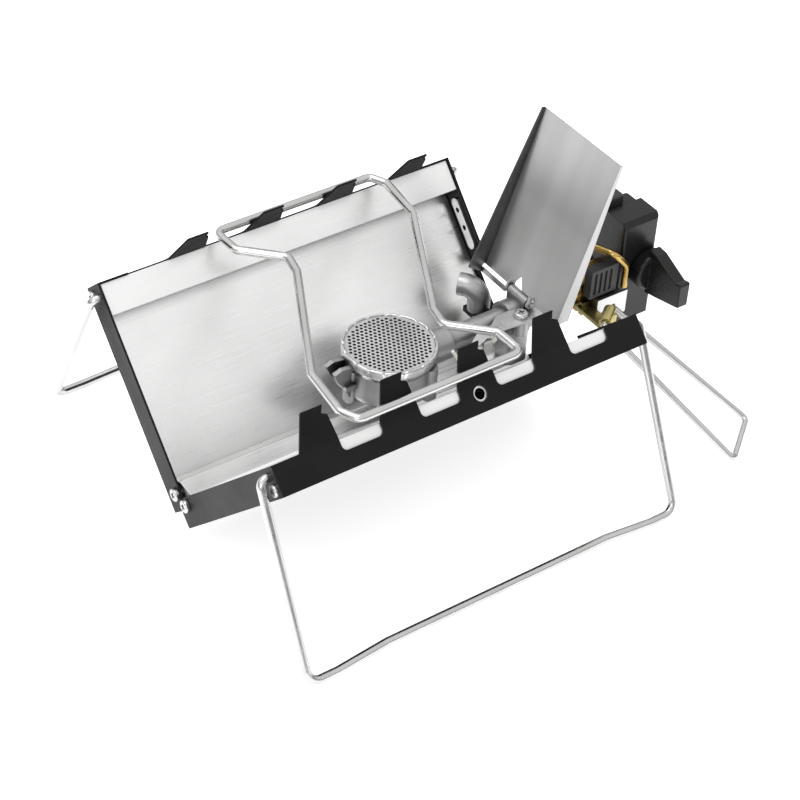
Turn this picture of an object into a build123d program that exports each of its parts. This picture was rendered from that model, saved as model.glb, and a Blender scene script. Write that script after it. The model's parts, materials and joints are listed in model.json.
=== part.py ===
from build123d import *
import os
from math import sin, cos, radians, sqrt

# Folding book-style gas camping stove, set up for use on its wire legs.
# Frame: X along the rails (valve end at +X), +Y to the rear, +Z up, ground at Z = 0. Millimetres.

# ---- driving dimensions -------------------------------------------------------------------------
length = 190.0            # rail length along X
half_width = 107.0        # shell half, rail to spine edge
slope = 46.0              # slope of each half in use, degrees from horizontal
closed_turn = 44.0        # turn that brings a half upright
hinge_y = 4.4             # hinge axis off the centre plane
hinge_z = 18.0            # hinge axis above ground
hinge_u = 99.0            # hinge axis from the rail, along the panel
hinge_v = 10.0            # hinge axis above the panel's outer face
sheet = 1.0               # shell sheet thickness
wall = 13.8               # shell wall height
window_floor = 7.8        # height of the window floors in the rail
tooth_pitch = 39.6
tooth_base = 19.0
tooth_tip = 10.5
tooth_length = 16.0
tooth_bend = 15.0         # teeth kick outward by this angle
liner_sheet = 0.6
box_rail_width = 15.6     # stainless box rail under each toothed rail

wire = 4.0                # wire diameter of the legs and the pan support
side_wire = 3.2           # wire diameter of the side leg
run_gap = 0.05            # radial clearance of the running fits
leg_splay = 26.1
leg_span = 198.4          # across the two arms, wire centre to wire centre
leg_u = 6.4               # leg pivot from the rail, along the panel
leg_v = 9.8               # leg pivot above the panel's outer face
stop_u = 4.6              # leg stop bolt from the rail, along the panel
stop_v = 3.9              # leg stop bolt above the panel's outer face

tube_z = 48.0             # mixing tube axis height
tube_d = 12.0
burner_x = 14.0
burner_d = 44.0
burner_top = 61.0
burner_base = 37.5

flap_x = 88.0             # heat shield pivot
flap_z = 58.0
flap_width = 55.0
flap_height = 84.0
flap_lean = 19.0
spine_half = 7.0          # spine channel, half width
spine_top = 23.5
front_shift = -2.5        # front teeth sit this far towards the plain end

loop_z = 97.0             # pan support wire centre height
loop_y = 70.1             # pan support end bars

knob_x = 156.0
knob_z = 56.0

half_len = length / 2
rail_y = hinge_y + hinge_u * cos(radians(slope)) + hinge_v * sin(radians(slope))
rail_z = hinge_z + hinge_u * sin(radians(slope)) - hinge_v * cos(radians(slope))


# ---- helpers ------------------------------------------------------------------------------------
def block(x0, x1, y0, y1, z0, z1):
    """A box given by its limits."""
    size = Box(x1 - x0, y1 - y0, z1 - z0)
    return Pos((x0 + x1) / 2, (y0 + y1) / 2, (z0 + z1) / 2) * size


def rod(start, end, radius):
    """A round bar between two points."""
    a = Vector(*start)
    b = Vector(*end)
    plane = Plane(origin=a, z_dir=b - a)
    return extrude(plane * Circle(radius), (b - a).length)


def wire_form(points, bend, diameter, end_bend=None):
    """A round wire bent through the points; the first and last bends may have their own radius."""
    pts = [Vector(*p) for p in points]
    edges = []
    here = pts[0]
    for i in range(1, len(pts) - 1):
        into = (pts[i] - pts[i - 1]).normalized()
        out = (pts[i + 1] - pts[i]).normalized()
        angle = radians(into.get_angle(out))
        if angle < 0.002:
            continue
        radius = end_bend if end_bend and i in (1, len(pts) - 2) else bend
        cut = radius * sin(angle / 2) / cos(angle / 2)
        first = pts[i] - into * cut
        last = pts[i] + out * cut
        toward = (out - into).normalized()
        middle = pts[i] + toward * (radius / cos(angle / 2) - radius)
        if (first - here).length > 0.01:
            edges.append(Line(here, first))
        edges.append(ThreePointArc(first, middle, last))
        here = last
    edges.append(Line(here, pts[-1]))
    path = Wire(edges)
    start = Plane(origin=pts[0], z_dir=pts[1] - pts[0])
    return sweep(start * Circle(diameter / 2), path=path)


def pan_screw(x, y, z, direction, head_r, head_h, shank_r, shank_len, cross=True):
    """A pan-head cross-recess screw: head base at the point, head towards the direction."""
    plane = Plane(origin=(x, y, z), z_dir=direction)
    head = extrude(plane * Circle(head_r), head_h)
    head = fillet(top_edges(head, plane), head_h * 0.45)
    if cross:
        recess = Plane(origin=plane.origin + plane.z_dir * (head_h * 0.45),
                       x_dir=plane.x_dir, z_dir=plane.z_dir)
        slot = Rectangle(head_r * 1.05, head_r * 0.28) + Rectangle(head_r * 0.28, head_r * 1.05)
        head -= extrude(recess * slot, head_h)
    shank = extrude(plane * Circle(shank_r), -shank_len)
    return head + shank


def top_edges(solid, plane):
    """The circular edges at the far end of a solid along a plane's normal."""
    def height(edge):
        return (edge.center() - plane.origin).dot(plane.z_dir)
    top = max(height(e) for e in solid.edges())
    return [e for e in solid.edges() if height(e) > top - 0.01 and e.geom_type == GeomType.CIRCLE]


def in_half(u, v):
    """Y and Z of a point of the rear half from its panel coordinates."""
    a = radians(slope)
    return rail_y - u * cos(a) - v * sin(a), rail_z - u * sin(a) + v * cos(a)


def place(part):
    """Rear half: panel coordinates (X, -u, v) to the stove's frame."""
    return Pos(0, rail_y, rail_z) * Rot(slope, 0, 0) * part


def front(part):
    """Mirror a part across the stove's centre plane."""
    return mirror(part, about=Plane.XZ)


nodes = {}


def save(part, name):
    """Keep a finished node; all of them are written at the end."""
    nodes[name] = part


# ---- shell halves -------------------------------------------------------------------------------
def shell_half(teeth, hole_x):
    floor = block(-half_len, half_len, -half_width, 0, 0, sheet)
    rail = block(-half_len, half_len, -sheet, 0, 0, wall)
    for i in range(-2, 3):
        x = teeth[0] + tooth_pitch * (i + 2) - tooth_pitch / 2
        w = tooth_pitch - tooth_base
        if x - w / 2 < -half_len + 6 or x + w / 2 > half_len - 6:
            continue
        cut = block(x - w / 2, x + w / 2, -5, 5, window_floor, wall + 5)
        low = [e for e in cut.edges().filter_by(Axis.Y) if e.center().Z < window_floor + 1]
        rail -= fillet(low, 2.5)
    tray = floor + rail
    for side in (-1, 1):
        x0 = side * half_len
        x1 = side * (half_len - sheet)
        end = block(min(x0, x1), max(x0, x1), -half_width, 0, 0, wall)
        corners = [e for e in end.edges().filter_by(Axis.X) if e.center().Z > wall - 1]
        end = chamfer([e for e in corners if e.center().Y < -10], 5)
        if side > 0:
            end -= block(half_len - 3, half_len + 3, -90, -50, 4.4, 40)
        end -= Pos(side * half_len, -leg_u, leg_v) * Rot(0, 90, 0) * Cylinder(wire / 2 + run_gap, 6)
        end -= Pos(side * half_len, -hinge_u, hinge_v) * Rot(0, 90, 0) * Cylinder(1.5 + run_gap, 6)
        end -= Pos(side * half_len, -stop_u, stop_v) * Rot(0, 90, 0) * Cylinder(1.2, 6)
        tray += end
    for x in teeth:
        tip = x + tooth_tip / 2 + 1.0
        profile = Polygon((x - tooth_base / 2, 0), (x + tooth_base / 2, 0), (tip + 1.2, tooth_length - 4.5),
                          (tip - 1.4, tooth_length - 3.2), (tip, tooth_length),
                          (x - tooth_tip / 2 + 1.0, tooth_length), align=None)
        profile = fillet(profile.vertices().sort_by(Axis.Y)[-1:], 1.0)
        plane = Plane(origin=(0, 0, wall - 0.3), x_dir=(1, 0, 0),
                      z_dir=(0, -cos(radians(tooth_bend)), sin(radians(tooth_bend))))
        tray += extrude(plane * profile, sheet)
    tray -= Pos(hole_x, 0, 8) * Rot(90, 0, 0) * Cylinder(3.5, 6)
    part = place(tray)
    open_side = block(-120, 120, -40, 0.6, -20, 60)
    closed_side = Pos(0, hinge_y, hinge_z) * Rot(-closed_turn, 0, 0) * Pos(0, -hinge_y, -hinge_z)
    closed_cut = closed_side * block(-120, 120, -40, 0.6, -20, 90)
    return part - open_side - closed_cut


rear_teeth = [tooth_pitch * k for k in (-1.25, -0.25, 0.75, 1.75)]
front_teeth = [tooth_pitch * k + front_shift for k in (-1.75, -0.75, 0.25, 1.25)]
rear_shell = shell_half(rear_teeth, -tooth_pitch * 0.25)
front_shell = front(shell_half(front_teeth, tooth_pitch * 0.25 + front_shift))
save(rear_shell, "rear_shell")
save(front_shell, "front_shell")


def liner_half(hole_x):
    inner = half_len - sheet - 0.4
    base = block(-inner, inner, -104, -box_rail_width + liner_sheet, sheet, sheet + liner_sheet)
    riser = block(-inner, inner, -box_rail_width, -box_rail_width + liner_sheet, sheet, 13.0)
    strip = block(-inner, inner, -box_rail_width, -sheet, 13.0 - liner_sheet, 13.0)
    flange = block(-inner, inner, -sheet - liner_sheet, -sheet, 3.0, 13.0)
    bead = block(-inner + 4, inner - 4, -94.5, -92.5, sheet + 0.3, sheet + liner_sheet + 0.5)
    emboss = block(-38, -24, -98.5, -96.5, sheet + 0.3, sheet + liner_sheet + 0.5)
    body = base + riser + strip + flange + bead + emboss
    for side in (-1, 1):
        x = side * (inner - 3)
        body -= block(x - 4, x + 4, -13, -2.5, 2, 12.2)
        body -= block(min(x, x + side * 5), max(x, x + side * 5), -105, -90, 0, 5)
    body -= Pos(hole_x, -1, 8) * Rot(90, 0, 0) * Cylinder(2.5, 4)
    return body


save(place(liner_half(-tooth_pitch * 0.25)), "rear_liner")
save(front(place(liner_half(tooth_pitch * 0.25 + front_shift))), "front_liner")

# ---- shell hardware -----------------------------------------------------------------------------
plate = block(half_len - sheet - 1.2, half_len - sheet, -45, -19, 5.2, 10.8)
plate = fillet(plate.edges().filter_by(Axis.X), 2.7)
for u in (25, 34):
    plate -= Pos(half_len - 2, -u, 8) * Rot(0, 90, 0) * Cylinder(1.3, 6)
save(place(plate), "rear_catch_plate")
save(front(place(plate)), "front_catch_plate")

stops = []
for side in (-1, 1):
    y, z = in_half(stop_u, stop_v)
    stops.append(pan_screw(side * half_len, y, z, (side, 0, 0), 2.8, 1.7, 1.2, 1.3))
save(Compound(children=stops), "rear_stop_screws")
save(Compound(children=[front(s) for s in stops]), "front_stop_screws")

# ---- spine --------------------------------------------------------------------------------------
spine = block(-93, 93, -spine_half, spine_half, 11.4, spine_top)
spine = fillet(spine.edges().filter_by(Axis.X).sort_by(Axis.Z)[-2:], 2.5)
spine -= block(-91.8, 91.8, -spine_half + 1, spine_half - 1, 11, spine_top - 1)
for side in (-1, 1):
    for y in (-hinge_y, hinge_y):
        spine -= Pos(side * 92, y, hinge_z) * Rot(0, 90, 0) * Cylinder(1.5, 8)
save(spine, "spine_channel")

bolts = []
for side in (-1, 1):
    for y in (-hinge_y, hinge_y):
        bolt = pan_screw(side * (half_len + 0.3), y, hinge_z, (side, 0, 0), 3.1, 1.9, 1.5, 6.5)
        bolts.append(bolt)
save(Compound(children=bolts), "hinge_bolts")

# ---- wire legs ----------------------------------------------------------------------------------
pivot_y, pivot_z = in_half(leg_u, leg_v)
foot_z = wire / 2
foot_y = pivot_y + (pivot_z - foot_z) * sin(radians(leg_splay)) / cos(radians(leg_splay))
arm = leg_span / 2


def along(x, t):
    """A point of the rear leg: t runs from 0 at the pivot to 1 at the foot bar."""
    return (x, pivot_y + (foot_y - pivot_y) * t, pivot_z + (foot_z - pivot_z) * t)


leg_points = [(-90, pivot_y, pivot_z), along(-arm, 0), along(-arm, 1), along(-arm + 14, 1),
              along(-arm + 40, 0.975), along(arm - 40, 0.975), along(arm - 14, 1),
              along(arm, 1), along(arm, 0), (90, pivot_y, pivot_z)]
rear_leg = wire_form(leg_points, 6.0, wire, end_bend=3.4)
save(rear_leg, "rear_leg")
save(front(rear_leg), "front_leg")

# ---- pan support --------------------------------------------------------------------------------
half_loop = [(33.0, -loop_y), (32.5, -54.0), (15.5, -37.5), (18.0, -26.5), (51.5, 36.0), (54.5, 62.0),
             (50.5, loop_y)]
loop_shift = -1.5
loop_points = [(x, y, loop_z) for x, y in half_loop]
loop_points += [(-x, -y, loop_z) for x, y in half_loop]
start = (0, -loop_y, loop_z)
ring = [start] + loop_points + [start]
loop = Pos(loop_shift, 0, 0) * wire_form(ring, 4.0, wire)
save(loop, "pan_support")

# ---- burner -------------------------------------------------------------------------------------
outer = burner_d / 2
rim_wall = 1.4
body_h = burner_top - 4 - burner_base
body = Pos(burner_x, 0, burner_base + body_h / 2) * Cylinder(outer - 0.5, body_h)
body = fillet(body.edges().sort_by(Axis.Z)[0], 5)
body -= Pos(burner_x, 0, burner_top - 8) * Cylinder(outer - 5, 12)
for angle in (60, 180, 300):
    lug = Pos(burner_x + (outer - 1.5) * cos(radians(angle)), (outer - 1.5) * sin(radians(angle)), 46.25)
    body += lug * Cylinder(3.6, 17.5)
neck = rod((burner_x + outer - 8, 0, tube_z), (burner_x + outer + 10, 0, tube_z), tube_d / 2 + 2)
body += neck
body -= Pos(burner_x, 0, burner_top - 8) * Cylinder(outer - 5, 12)
body -= rod((burner_x + 6, 0, tube_z), (burner_x + outer + 11, 0, tube_z), tube_d / 2)
rim = Pos(burner_x, 0, burner_top - 3) * (Cylinder(outer, 6) - Cylinder(outer - rim_wall, 8))
body -= rim

lug_screws = []
for angle in (60, 180, 300):
    x = burner_x + (outer - 1.5) * cos(radians(angle))
    y = (outer - 1.5) * sin(radians(angle))
    lug_screws.append(pan_screw(x, y, burner_base, (0, 0, -1), 2.6, 1.6, 1.2, 6.0))
    body -= Pos(x, y, burner_base + 3) * Cylinder(1.2, 6.2)
save(Compound(children=lug_screws), "burner_screws")
save(body, "burner_body")

rim = fillet(rim.edges().sort_by(Axis.Z)[-2:], 0.6)
save(rim, "burner_rim")

grid = Circle(outer - rim_wall)
hole_pitch = 2.3
spots = []
for row in range(-9, 10):
    for col in range(-9, 10):
        x = hole_pitch * (col + (row % 2) / 2)
        y = hole_pitch * row * sqrt(3) / 2
        if x * x + y * y < (outer - 2.7) ** 2:
            spots.append((x, y))
grid -= Sketch() + [Pos(x, y) * Circle(0.75) for x, y in spots]
disc = Pos(burner_x, 0, burner_top - 1.6) * extrude(grid, 0.8)
save(disc, "burner_disc")

# ---- mixing tube and mount post -----------------------------------------------------------------
tube = rod((burner_x + outer - 4, 0, tube_z), (100, 0, tube_z), tube_d / 2)
tube += rod((99, 0, tube_z), (119, 0, tube_z), 4.5)
tube -= rod((burner_x + outer - 5, 0, tube_z), (97, 0, tube_z), tube_d / 2 - 1.2)
tube -= rod((96, 0, tube_z), (117, 0, tube_z), 2.2)
for side in (-1, 1):
    tube -= block(74, 79, min(0, side * 9), max(0, side * 9), 46, 50)
save(tube, "mixing_tube")

post = block(80, 91.5, -6.5, 6.5, spine_top, 44)
post = fillet(post.edges().filter_by(Axis.Z), 3)
post += rod((79, 0, tube_z), (91.5, 0, tube_z), tube_d / 2 + 2.5)
post += Pos(81.5, -10.0, 50) * Cylinder(3.6, 9)
post += block(80, 86.5, -11, -3, 45.5, 54.5)
post += block(85.5, 90.5, -6.5, 6.5, 52, flap_z) + rod((flap_x, -6.5, flap_z), (flap_x, 6.5, flap_z), 2.5)
post -= rod((70, 0, tube_z), (97, 0, tube_z), tube_d / 2)
post -= Pos(81.5, -10.0, 50) * Cylinder(1.5, 12)
save(post, "burner_post")

# ---- spark electrode and its bracket ------------------------------------------------------------
strap = Polygon((52, -17.5), (58, -15), (60, -16), (66, -13.5), (90, -16), (92.5, -11), (89, -4.5),
                (72, -3.5), (66, -8), (56, -10), (50, -14), align=None)
strap = Pos(0, 0, 54.5) * extrude(strap, 1.0)
strap -= Pos(81.5, -10.0, 55) * Cylinder(1.5, 4)
strap -= post
save(strap, "electrode_bracket")
save(pan_screw(81.5, -10.0, 55.5, (0, 0, 1), 3.3, 2.2, 1.5, 7.0), "bracket_screw")

electrode = rod((46.0, -15.5, 51.5), (64.0, -12.8, 51.5), 2.0)
electrode += rod((41.0, -16.25, 51.5), (46.5, -15.43, 51.5), 0.8)
electrode += rod((41.0, -16.25, 51.2), (38.5, -15.0, 56.0), 0.8)
save(electrode, "spark_electrode")
save(block(55, 60, -17.2, -11.0, 48.8, 54.5) - rod((46.0, -15.5, 51.5), (64.0, -12.8, 51.5), 2.0),
     "electrode_clip")

ear = Polygon((-6, 38.5), (-9.5, 42), (-12.5, 48), (-15.5, 52), (-17.5, 57), (-13.5, 58.5), (-6, 57.5), align=None)
ear_plate = extrude(Plane(origin=(0, 4, 0), x_dir=(1, 0, 0), z_dir=(0, -1, 0)) * ear, 2.4)
ear_plate += extrude(Plane(origin=(0, -3, 0), x_dir=(1, 0, 0), z_dir=(0, -1, 0)) * ear, 2.4)
ear_plate += block(-12.6, -6, -5.4, 4, 47, 49.4)
ear_plate = ear_plate - body - rim
for screw in lug_screws:
    ear_plate -= screw
save(ear_plate, "burner_ear")

elbow = wire_form([(72.5, 26.5, 54), (79, 18.5, 54), (79, 18.5, 42)], 7, 11)
elbow -= wire_form([(71.5, 27.73, 54), (79, 18.5, 54), (79, 18.5, 41)], 7, 8.4)
save(elbow, "air_elbow")
save(block(74, 84, 6.5, 23.7, 39, 42), "elbow_bracket")

# ---- heat shield --------------------------------------------------------------------------------
fw = flap_width / 2
shield = block(-0.4, 0.4, -fw, fw, 3, flap_height)
shield += block(-0.4, 0.4, -fw, -9.5, 0.4, 3) + block(-0.4, 0.4, 9.5, fw, -3.5, 3)
notch = Polygon((-4, 2), (4, 2), (0, 9), align=None)
shield -= extrude(Plane(origin=(-3, 3, 0), x_dir=(0, 1, 0), z_dir=(1, 0, 0)) * notch, 6)
rear_wing = Polygon((0.4, -3.5), (-9.5, -1.0), (-1.6, flap_height), (0.4, flap_height), align=None)
shield += extrude(Plane(origin=(0, fw, 0), x_dir=(1, 0, 0), z_dir=(0, -1, 0)) * rear_wing, 0.8)
front_wing = Polygon((-0.4, 0.4), (6.4, 3.0), (1.2, flap_height), (-0.4, flap_height), align=None)
shield += extrude(Plane(origin=(0, -fw + 0.8, 0), x_dir=(1, 0, 0), z_dir=(0, -1, 0)) * front_wing, 0.8)
for side in (-1, 1):
    ear = block(-2.2, 2.2, -0.7, 0.7, 0, 4) + Rot(90, 0, 0) * Cylinder(2.4, 1.4)
    shield += Pos(0, side * 7.9, 0) * ear
shield -= Rot(90, 0, 0) * Cylinder(1.2 + run_gap, 60)
save(Pos(flap_x, 0, flap_z) * Rot(0, flap_lean, 0) * shield, "heat_shield")

pin = rod((flap_x, -9.6, flap_z), (flap_x, 9.6, flap_z), 1.2)
save(pin, "shield_pin")
nodes["burner_post"] -= pin

# ---- valve unit ---------------------------------------------------------------------------------
valve = block(119, 139, -7.5, 7.5, 40, 56)
valve = fillet(valve.edges().filter_by(Axis.X), 2)
valve += rod((139, 0, tube_z), (150, 0, tube_z), 5)
valve += rod((116, 0, tube_z), (119.5, 0, tube_z), 7)
valve -= rod((99, 0, tube_z), (119, 0, tube_z), 4.5)
save(valve, "valve_body")

housing = block(139, 162, -10, 10, 22, 62)
housing = chamfer(housing.edges().filter_by(Axis.X).sort_by(Axis.Z)[:2], 4)
housing = fillet(housing.edges().filter_by(Axis.Z), 1.5)
upper = block(140, 161, -10, 14.5, 61, 84.5)
upper = chamfer(upper.edges().filter_by(Axis.X).group_by(Axis.Z)[-1].sort_by(Axis.Y)[0], 2.4)
upper = fillet(upper.edges().filter_by(Axis.Z), 1.5)
upper -= block(135, 165, 4.5, 20, 81.5, 90)
housing += upper
housing -= block(141.6, 152.4, 5.6, 13.4, 70, 90)
housing -= rod((138, 0, tube_z), (150, 0, tube_z), 5)
housing -= rod((knob_x, -12, knob_z), (knob_x, -4, knob_z), 3.0)
housing -= rod((150, 9, 46), (150, 12, 46), 9)
save(housing, "valve_housing")

button = block(142, 152, 6, 13, 73, 88.5)
button = fillet(button.edges().filter_by(Axis.Z), 1.2)
button = fillet(button.faces().sort_by(Axis.Z)[-1].edges(), 0.8)
save(button, "igniter_button")

save(rod((knob_x, -19.0, knob_z), (knob_x, -4, knob_z), 3.0), "knob_shaft")
knob = rod((knob_x, -17.0, knob_z), (knob_x, -10.8, knob_z), 10.0)
knob = fillet(knob.edges().filter_by(GeomType.CIRCLE).sort_by(Axis.Y)[0], 1.5)
lever = Polygon((-15.0, -12.0), (-15.0, 13.0), (-20, 12.6), (-34.5, 6.0), (-38.0, 6.8), (-38.5, 5.6), (-38.5, -6.2),
                (-37, -6.8), (-24, -10.0), align=None)
lever = extrude(Plane(origin=(knob_x - 3.2, 0, knob_z), x_dir=(0, 1, 0), z_dir=(1, 0, 0)) * lever, 6.4)
lever = fillet(lever.edges().group_by(Axis.X)[0] + lever.edges().group_by(Axis.X)[-1], 0.7)
knob += lever
knob -= rod((knob_x, -20.0, knob_z), (knob_x, -10, knob_z), 3.0 + run_gap)
save(knob, "control_knob")

socket = rod((150, 9, 46), (150, 22, 46), 14.5) - rod((150, 14, 46), (150, 23, 46), 11.5)
socket -= rod((150, 9, 46), (150, 10, 46), 15) - rod((150, 9, 46), (150, 10, 46), 9)
socket -= rod((150, 10.5, 46), (150, 15, 46), 3)
save(socket, "canister_socket")

igniter = block(120, 136, -13, -8.0, 51, 67)
for x in (122, 125, 128, 131):
    igniter -= block(x, x + 1.4, -13.5, -12.3, 53, 65)
save(igniter, "igniter_block")

clip = block(124, 142, -15, -14, 37, 50) + block(124, 125, -15, -7.5, 37, 50) + block(124, 139, -15, -7.5, 49, 50)
clip -= Pos(134, -14, 43) * Rot(90, 0, 0) * Cylinder(1.6, 6)
save(clip, "valve_clip")

gas_path = [(128, 4, 56), (128, 4, 70.5), (133, -12.5, 72.5), (140.5, -13.5, 64), (140.5, -13.5, 51.5)]
gas_tube = wire_form(gas_path, 4, 3.2)
save(gas_tube, "gas_tube")

# ---- side leg and its stay ----------------------------------------------------------------------
foot_a = Vector(171.2, -77.6, side_wire / 2)
foot_b = Vector(146.6, -96.7, side_wire / 2)
bar_dir = (foot_a - foot_b).normalized()
side_pivot = Vector(116.0, -31.0, 55.0)
barrel = 5.5
far = side_pivot + bar_dir * (barrel + 2.6)
near = side_pivot - bar_dir * (barrel + 2.6)
side_path = [side_pivot + bar_dir * 1.0, far, foot_a, foot_b, near, side_pivot - bar_dir * 1.0]
side_leg = wire_form(side_path, 2.6, side_wire)
save(side_leg, "side_leg")

stay = rod(side_pivot - bar_dir * barrel, side_pivot + bar_dir * barrel, 3.0)
stay += block(117.5, 124.0, -31.5, -7.5, 43, 45)
post_block = block(114, 120, -33, -28, 43, 56)
stay += post_block
stay += block(119, 124, -10, -7.5, 40, 47)
stay -= rod(side_pivot - bar_dir * 20, side_pivot + bar_dir * 20, side_wire / 2 + run_gap)
save(stay, "side_leg_stay")

# ---- common origin: middle of the footprint, ground at Z = 0 ------------------------------------
os.makedirs("parts", exist_ok=True)
boxes = [part.bounding_box() for part in nodes.values()]
middle_x = (min(b.min.X for b in boxes) + max(b.max.X for b in boxes)) / 2
middle_y = (min(b.min.Y for b in boxes) + max(b.max.Y for b in boxes)) / 2
for name, part in nodes.items():
    moved = Pos(-middle_x, -middle_y, 0) * part
    moved.label = name
    export_step(moved, f"parts/{name}.step")
print("origin moved by", round(middle_x, 3), round(middle_y, 3))
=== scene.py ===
import json
import math
import random

import bpy
import bmesh
from mathutils import Matrix, Vector


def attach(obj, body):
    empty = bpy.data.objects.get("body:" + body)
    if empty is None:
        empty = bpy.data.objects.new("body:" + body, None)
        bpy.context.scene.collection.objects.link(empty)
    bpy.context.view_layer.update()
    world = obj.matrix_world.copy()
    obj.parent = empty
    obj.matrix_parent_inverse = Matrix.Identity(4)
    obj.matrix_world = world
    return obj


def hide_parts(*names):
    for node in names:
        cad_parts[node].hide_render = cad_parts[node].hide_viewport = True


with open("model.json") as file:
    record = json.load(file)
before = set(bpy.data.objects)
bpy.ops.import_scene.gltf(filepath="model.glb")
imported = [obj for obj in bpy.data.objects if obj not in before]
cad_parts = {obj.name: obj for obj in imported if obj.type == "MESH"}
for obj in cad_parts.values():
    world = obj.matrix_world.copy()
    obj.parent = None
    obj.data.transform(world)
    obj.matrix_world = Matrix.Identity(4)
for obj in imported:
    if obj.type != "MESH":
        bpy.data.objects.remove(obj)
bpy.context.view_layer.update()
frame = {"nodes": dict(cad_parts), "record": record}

NODES = frame["nodes"]
random.seed(7)

# ---- material helpers ---------------------------------------------------------------------------
NOISE_SPAN = (0.3, 0.7)    # where most values of a noise texture lie
OPEN_SURFACE = 0.95        # ambient occlusion above which a surface counts as clear of its neighbours
OCCLUSION_SAMPLES = 8
BEVEL_SAMPLES = 4


def shade(color, factor):
    return [channel * factor for channel in color]


def set_ramp(node, low, high, at):
    """Give a new colour ramp its two stops."""
    first, last = node.color_ramp.elements[0], node.color_ramp.elements[1]
    first.position, first.color = at[0], (*low, 1)
    last.position, last.color = at[1], (*high, 1)


class Mat:
    """A small node-tree builder around one Principled shader."""

    def __init__(self, name, base, metallic, rough):
        self.material = bpy.data.materials.new(name)
        self.material.use_nodes = True
        self.tree = self.material.node_tree
        self.bsdf = self.tree.nodes["Principled BSDF"]
        self.bsdf.inputs["Base Color"].default_value = (*base, 1)
        self.bsdf.inputs["Metallic"].default_value = metallic
        self.bsdf.inputs["Roughness"].default_value = rough
        self.object_co = self.node("ShaderNodeTexCoord").outputs["Object"]
        self.normal = None

    def node(self, kind, **values):
        """A new node with its inputs set; an underscore in a name stands for a space."""
        new = self.tree.nodes.new(kind)
        for key, value in values.items():
            new.inputs[key.replace("_", " ")].default_value = value
        return new

    def link(self, a, b):
        self.tree.links.new(a, b)

    def set(self, name, output):
        self.link(output, self.bsdf.inputs[name])

    def noise(self, scale, detail, rough, lean=None):
        """Noise in object coordinates. With lean, they are turned that many degrees about Y before
        they are scaled, so that the grain follows a leaning sheet."""
        texture = self.node("ShaderNodeTexNoise", Scale=1.0, Detail=detail, Roughness=rough)
        mapping = self.node("ShaderNodeMapping")
        if lean is None:
            mapping.inputs["Scale"].default_value = scale
        else:
            mapping.vector_type = "TEXTURE"
            mapping.inputs["Scale"].default_value = [1 / v for v in scale]
            mapping.inputs["Rotation"].default_value = (0, math.radians(lean), 0)
        self.link(self.object_co, mapping.inputs["Vector"])
        self.link(mapping.outputs["Vector"], texture.inputs["Vector"])
        return texture.outputs["Fac"]

    def axis(self, letter):
        split = self.node("ShaderNodeSeparateXYZ")
        self.link(self.object_co, split.inputs["Vector"])
        return split.outputs[letter]

    def between(self, value, low, high, out_low, out_high):
        """A value's span from low to high, carried over to the span from out_low to out_high."""
        span = self.node("ShaderNodeMapRange", From_Min=low, From_Max=high, To_Min=out_low, To_Max=out_high)
        self.link(value, span.inputs["Value"])
        return span.outputs["Result"]

    def spread(self, noise, low, high):
        """A noise texture carried over to the span from low to high."""
        return self.between(noise, *NOISE_SPAN, low, high)

    def ramp(self, value, low, high, at=NOISE_SPAN):
        """A colour that goes from low to high as the value goes from one stop to the other."""
        ramp = self.node("ShaderNodeValToRGB")
        set_ramp(ramp, low, high, at)
        self.link(value, ramp.inputs["Fac"])
        return ramp.outputs["Color"]

    def tinted(self, color, factor):
        """A colour scaled by a grey value."""
        product = self.node("ShaderNodeVectorMath")
        product.operation = "SCALE"
        self.link(color, product.inputs[0])
        self.link(factor, product.inputs["Scale"])
        return product.outputs["Vector"]

    def painted_contact_shade(self, color, distance, low, dark):
        """A colour darkened where surfaces meet: painted shade, taken from ambient occlusion."""
        occlusion = self.node("ShaderNodeAmbientOcclusion", Distance=distance)
        occlusion.samples = OCCLUSION_SAMPLES
        factor = self.between(occlusion.outputs["AO"], low, OPEN_SURFACE, dark, 1.0)
        return self.tinted(color, factor)

    def use_normal(self, output):
        self.normal = output
        self.set("Normal", output)

    def rounded(self, radius):
        """Edges shaded as if rounded, with the radius in metres."""
        bevel = self.node("ShaderNodeBevel", Radius=radius)
        bevel.samples = BEVEL_SAMPLES
        self.use_normal(bevel.outputs["Normal"])

    def bump(self, height, strength, distance):
        """Relief on top of any normal set before, with its distance in metres."""
        relief = self.node("ShaderNodeBump", Strength=strength, Distance=distance)
        self.link(height, relief.inputs["Height"])
        if self.normal:
            self.link(self.normal, relief.inputs["Normal"])
        self.use_normal(relief.outputs["Normal"])


# ---- one maker for each kind of surface ---------------------------------------------------------
def brushed(name, base, rough, scale=(30, 2600, 2600), painted_shade_dark=0.3):
    """Brushed sheet: fine lines along one direction, faint broad clouding, and painted shade where it meets
    other parts.
    """
    m = Mat(name, base, 1.0, rough)
    m.rounded(0.0003)
    lines = m.noise(scale, detail=6.0, rough=0.7)
    cloud = m.noise((14, 14, 14), detail=3.0, rough=0.5)
    tone = m.ramp(cloud, shade(base, 0.90), shade(base, 1.06))
    m.set("Roughness", m.spread(lines, rough - 0.07, rough + 0.12))
    # painted shade: the colour is darkened by ambient occlusion where the sheet meets other parts
    m.set("Base Color", m.painted_contact_shade(tone, distance=0.006, low=0.15, dark=painted_shade_dark))
    m.bump(lines, strength=0.06, distance=0.00003)
    m.bsdf.inputs["Anisotropic"].default_value = 0.4
    return m.material


# The heat shield's lean from upright in degrees, and the two places along Y, in metres, where its
# sheet turns into the front flange and into the rear wing.
SHIELD_LEAN = 19
FLANGE_EDGE = (-0.0272, -0.0266)
WING_EDGE = (0.0264, 0.0270)


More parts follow.
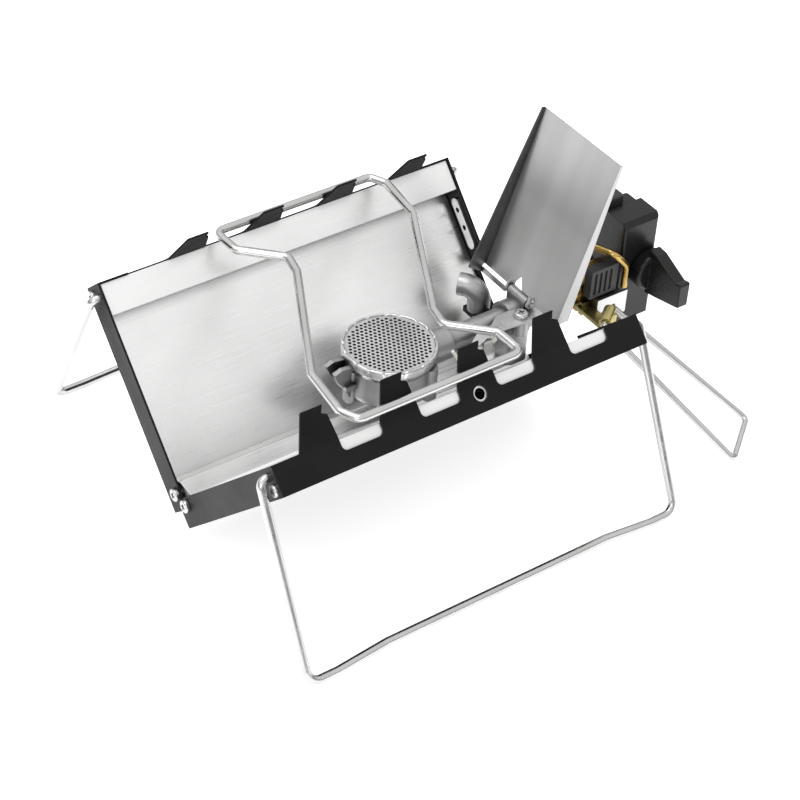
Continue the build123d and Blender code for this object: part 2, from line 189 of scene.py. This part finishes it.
def shield_sheet(name, base, rough):
    """Heat shield: grain along its height, a painted dark reflection over the rear wing and a painted,
    slightly darker reflection on the front flange.
    Both tones stand in for reflections that this scene doesn't make."""
    m = Mat(name, base, 1.0, rough)
    m.rounded(0.0003)
    lines = m.noise((2400, 2400, 25), detail=6.0, rough=0.7, lean=SHIELD_LEAN)
    bands = m.noise((60, 60, 3), detail=2.0, rough=0.5, lean=SHIELD_LEAN)
    tone = m.ramp(bands, shade(base, 0.86), shade(base, 1.1))
    across = m.axis("Y")
    # painted reflection: the front flange a little darker, the rear wing much darker
    painted_flange_reflection = m.between(across, *FLANGE_EDGE, 0.95, 1.0)
    painted_wing_reflection = m.between(across, *WING_EDGE, 1.0, 0.30)
    m.set("Base Color", m.tinted(m.tinted(tone, painted_flange_reflection), painted_wing_reflection))
    m.set("Roughness", m.spread(lines, rough - 0.06, rough + 0.12))
    m.bump(lines, strength=0.08, distance=0.00003)
    return m.material


def paint(name, base, rough):
    """Black baked paint: a fine orange-peel skin with faint wear in the gloss."""
    m = Mat(name, base, 0.0, rough)
    m.rounded(0.0004)
    skin = m.noise((1600, 1600, 1600), detail=3.0, rough=0.5)
    cloud = m.noise((40, 40, 40), detail=4.0, rough=0.6)
    m.set("Roughness", m.spread(cloud, rough - 0.06, rough + 0.08))
    m.set("Base Color", m.ramp(cloud, base, shade(base, 1.5), at=(0.3, 0.75)))
    m.bump(skin, strength=0.10, distance=0.00005)
    m.bsdf.inputs["Specular IOR Level"].default_value = 0.12
    return m.material


def cast(name, base, rough):
    """As-cast aluminium: granular skin with small pits, and deep painted shade in hollows and where parts
    meet.
    """
    m = Mat(name, base, 0.9, rough)
    m.rounded(0.0007)
    grain = m.noise((900, 900, 900), detail=5.0, rough=0.65)
    pits = m.node("ShaderNodeTexVoronoi", Scale=700.0)
    m.link(m.object_co, pits.inputs["Vector"])
    cloud = m.noise((70, 70, 70), detail=3.0, rough=0.5)
    tone = m.ramp(cloud, shade(base, 0.72), base)
    # painted shade: the colour is darkened strongly by ambient occlusion in hollows and where parts meet
    m.set("Base Color", m.painted_contact_shade(tone, distance=0.014, low=0.25, dark=0.08))
    m.set("Roughness", m.spread(grain, rough - 0.08, rough + 0.12))
    m.bump(grain, strength=0.35, distance=0.00012)
    m.bump(pits.outputs["Distance"], strength=0.12, distance=0.0001)
    return m.material


def drawn(name, base, rough):
    """Drawn wire and turned screws: tight streaks and small handling marks."""
    m = Mat(name, base, 1.0, rough)
    streak = m.noise((260, 260, 260), detail=3.0, rough=0.5)
    cloud = m.noise((45, 45, 45), detail=2.0, rough=0.5)
    m.set("Roughness", m.spread(streak, rough - 0.03, rough + 0.07))
    m.set("Base Color", m.ramp(cloud, shade(base, 0.88), base))
    m.bump(streak, strength=0.03, distance=0.00003)
    return m.material


def plated(name, base, other, rough):
    """Yellow metal: brass or chromate film with shifting tint, and painted shade where parts meet."""
    m = Mat(name, base, 1.0, rough)
    m.rounded(0.0003)
    cloud = m.noise((90, 90, 90), detail=4.0, rough=0.6)
    grain = m.noise((1200, 1200, 1200), detail=3.0, rough=0.5)
    tone = m.ramp(cloud, other, base, at=(0.32, 0.68))
    # painted shade: the colour is darkened by ambient occlusion where parts meet
    m.set("Base Color", m.painted_contact_shade(tone, distance=0.006, low=0.25, dark=0.2))
    m.set("Roughness", m.spread(grain, rough - 0.06, rough + 0.10))
    m.bump(grain, strength=0.10, distance=0.00005)
    return m.material


def moulded(name, base, rough):
    """Moulded plastic or ceramic: a fine moulded grain and a slight sheen change."""
    m = Mat(name, base, 0.0, rough)
    m.rounded(0.0005)
    grain = m.noise((2200, 2200, 2200), detail=2.0, rough=0.5)
    cloud = m.noise((50, 50, 50), detail=3.0, rough=0.5)
    m.set("Base Color", m.ramp(cloud, base, shade(base, 1.35)))
    m.set("Roughness", m.spread(grain, rough - 0.08, rough + 0.08))
    m.bump(grain, strength=0.14, distance=0.00006)
    m.bsdf.inputs["Specular IOR Level"].default_value = 0.30
    return m.material


MATERIALS = {
    "black_paint": paint("black_paint", [0.006, 0.006, 0.0065], 0.40),
    "stainless": brushed("stainless", [0.86, 0.86, 0.855], 0.30),
    "wire_steel": drawn("wire_steel", [0.56, 0.56, 0.555], 0.22),
    "cast_aluminium": cast("cast_aluminium", [0.46, 0.46, 0.465], 0.38),
    "pressed_steel": brushed("pressed_steel", [0.62, 0.62, 0.62], 0.30, (600, 600, 600), painted_shade_dark=0.12),
    "screw_steel": drawn("screw_steel", [0.55, 0.55, 0.555], 0.26),
    "brass": plated("brass", [0.62, 0.43, 0.14], [0.42, 0.28, 0.09], 0.25),
    "chromate_steel": plated("chromate_steel", [0.62, 0.47, 0.16], [0.42, 0.40, 0.20], 0.30),
    "housing_plastic": moulded("housing_plastic", [0.006, 0.006, 0.0065], 0.30),
    "igniter_plastic": moulded("igniter_plastic", [0.025, 0.025, 0.027], 0.42),
    "ceramic": moulded("ceramic", [0.75, 0.73, 0.68], 0.25),
}
for part in frame["record"]["subparts"]:
    obj = NODES[part["node"]]
    obj.data.materials.clear()
    obj.data.materials.append(MATERIALS[part["material_slot"]])
# The heat shield's slot is stainless too, but its sheet leans and carries painted reflections: a dark rear
# wing and a slightly darker front flange.
NODES["heat_shield"].data.materials[0] = shield_sheet("shield_steel", [0.46, 0.46, 0.46], 0.34)

# ---- crimped burner rim -------------------------------------------------------------------------
BURNER_X = 0.014           # the burner's axis before the part was centred, in metres
CENTRING_X = 0.035262      # how far centring moved the part, in metres
# The rest is in millimetres, except the angles, which are in radians.
RIM_PROFILE = [            # radius and height, up the outside, over the top and down the inside
    (21.95, 55.0), (22.0, 57.0), (22.0, 59.8), (21.8, 60.6),
    (21.35, 61.0), (20.9, 60.9), (20.6, 60.4), (20.6, 58.4),
]
RIM_STEPS = 340
PINCH_COUNT = 17
PINCH_STRAY = 0.06         # how far a pinch may lie from its even place
PINCH_WIDTH = 0.035
PINCH_INWARD = 0.45
PINCH_DOWN = 0.55
LIP_FROM = 59.5            # below this height the rim stays round
LIP_HEIGHT = 1.5           # above it the pinches and waves grow to full size over this height
LIP_DROP = 0.1             # the lip is this much lower all round


def crimped_rim():
    """The rolled edge that holds the perforated disc, pinched down at uneven steps round the ring."""
    centre = Vector((BURNER_X - CENTRING_X, 0, 0))
    pinches = [
        i * 2 * math.pi / PINCH_COUNT + random.uniform(-PINCH_STRAY, PINCH_STRAY)
        for i in range(PINCH_COUNT)
    ]
    mesh = bmesh.new()
    rings = []
    for k in range(RIM_STEPS):
        angle = 2 * math.pi * k / RIM_STEPS
        near = min(abs((angle - p + math.pi) % (2 * math.pi) - math.pi) for p in pinches)
        pinch = math.exp(-(near / PINCH_WIDTH) ** 2)
        wave = 0.08 * math.sin(angle * 5 + 0.7) + 0.05 * math.sin(angle * 11)
        ring = []
        for r, z in RIM_PROFILE:
            top = max(0.0, (z - LIP_FROM) / LIP_HEIGHT)
            radius = (r - top * (PINCH_INWARD * pinch + 0.1 * wave)) / 1000
            height = (z - top * (PINCH_DOWN * pinch + wave * 0.6 + LIP_DROP)) / 1000
            point = Vector((radius * math.cos(angle), radius * math.sin(angle), height))
            ring.append(mesh.verts.new(centre + point))
        rings.append(ring)
    for k in range(RIM_STEPS):
        here, there = rings[k], rings[(k + 1) % RIM_STEPS]
        for j in range(len(RIM_PROFILE)):
            jj = (j + 1) % len(RIM_PROFILE)
            mesh.faces.new((here[j], there[j], there[jj], here[jj])).smooth = True
    bmesh.ops.recalc_face_normals(mesh, faces=mesh.faces)
    data = bpy.data.meshes.new("crimped_burner_rim")
    mesh.to_mesh(data)
    mesh.free()
    ring_object = bpy.data.objects.new("crimped_burner_rim", data)
    bpy.context.scene.collection.objects.link(ring_object)
    ring_object.data.materials.append(MATERIALS["pressed_steel"])
    return ring_object


rim = crimped_rim()
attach(rim, "frame")
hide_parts("burner_rim")

# ---- floor, light and camera --------------------------------------------------------------------
FLOOR_HALF = 6.0           # metres
FLOOR_GLOW = 0.62          # lifts the floor towards the photo's white background

corners = [(-FLOOR_HALF, -FLOOR_HALF, 0), (FLOOR_HALF, -FLOOR_HALF, 0),
           (FLOOR_HALF, FLOOR_HALF, 0), (-FLOOR_HALF, FLOOR_HALF, 0)]
floor_mesh = bpy.data.meshes.new("studio_floor")
floor_mesh.from_pydata(corners, [], [(0, 1, 2, 3)])
floor = bpy.data.objects.new("studio_floor", floor_mesh)
bpy.context.scene.collection.objects.link(floor)
floor_mat = Mat("studio_paper", [0.93, 0.93, 0.93], 0.0, 0.9)
floor_mat.bsdf.inputs["Specular IOR Level"].default_value = 0.1
paper = floor_mat.noise((300, 300, 300), detail=2.0, rough=0.5)
floor_mat.bump(paper, strength=0.05, distance=0.0001)
floor_mat.bsdf.inputs["Emission Color"].default_value = (1, 1, 1, 1)
floor_mat.bsdf.inputs["Emission Strength"].default_value = FLOOR_GLOW
floor.data.materials.append(floor_mat.material)

# The room is bright overhead and dark near the horizon, so round metal gets dark edges.
world = bpy.data.worlds.new("studio")
bpy.context.scene.world = world
world.use_nodes = True
sky = world.node_tree
coord = sky.nodes.new("ShaderNodeTexCoord")
split = sky.nodes.new("ShaderNodeSeparateXYZ")
level = sky.nodes.new("ShaderNodeValToRGB")
set_ramp(level, (0.06, 0.06, 0.06), (1, 1, 1), at=(0.02, 0.45))
sky.links.new(coord.outputs["Generated"], split.inputs["Vector"])
sky.links.new(split.outputs["Z"], level.inputs["Fac"])
sky.links.new(level.outputs["Color"], sky.nodes["Background"].inputs["Color"])
sky.nodes["Background"].inputs["Strength"].default_value = 1.05

LAMP_AIM = Vector((0, 0, 0.05))


def softbox(name, place, size, power):
    """A rectangular area lamp that faces the stove, in metres and watts."""
    data = bpy.data.lights.new(name, "AREA")
    data.shape = "RECTANGLE"
    data.size, data.size_y = size
    data.energy = power
    lamp = bpy.data.objects.new(name, data)
    lamp.location = place
    lamp.rotation_euler = (LAMP_AIM - Vector(place)).to_track_quat("-Z", "Y").to_euler()
    bpy.context.scene.collection.objects.link(lamp)


softbox("key", (-0.5, 0.3, 1.6), (1.2, 1.0), 14)
softbox("fill", (-1.3, -1.1, 0.9), (0.9, 0.9), 6)

# The camera's place and two of its axes, as fitted to the photo; the third follows from them.
CAMERA_PLACE = (-0.5087, -0.6458, 0.7120)
right = Vector((0.818, -0.573, 0.051)).normalized()
forward = Vector((0.465, 0.606, -0.646)).normalized()
up = right.cross(forward)
cam_data = bpy.data.cameras.new("camera")
cam_data.lens = 103.8
cam_data.sensor_width = 36.0
cam_data.clip_start = 0.05
cam = bpy.data.objects.new("camera", cam_data)
axes = Matrix((right, up, -forward)).transposed()
cam.matrix_world = Matrix.Translation(CAMERA_PLACE) @ axes.to_4x4()
bpy.context.scene.collection.objects.link(cam)
bpy.context.scene.camera = cam
bpy.context.scene.view_settings.view_transform = "Standard"
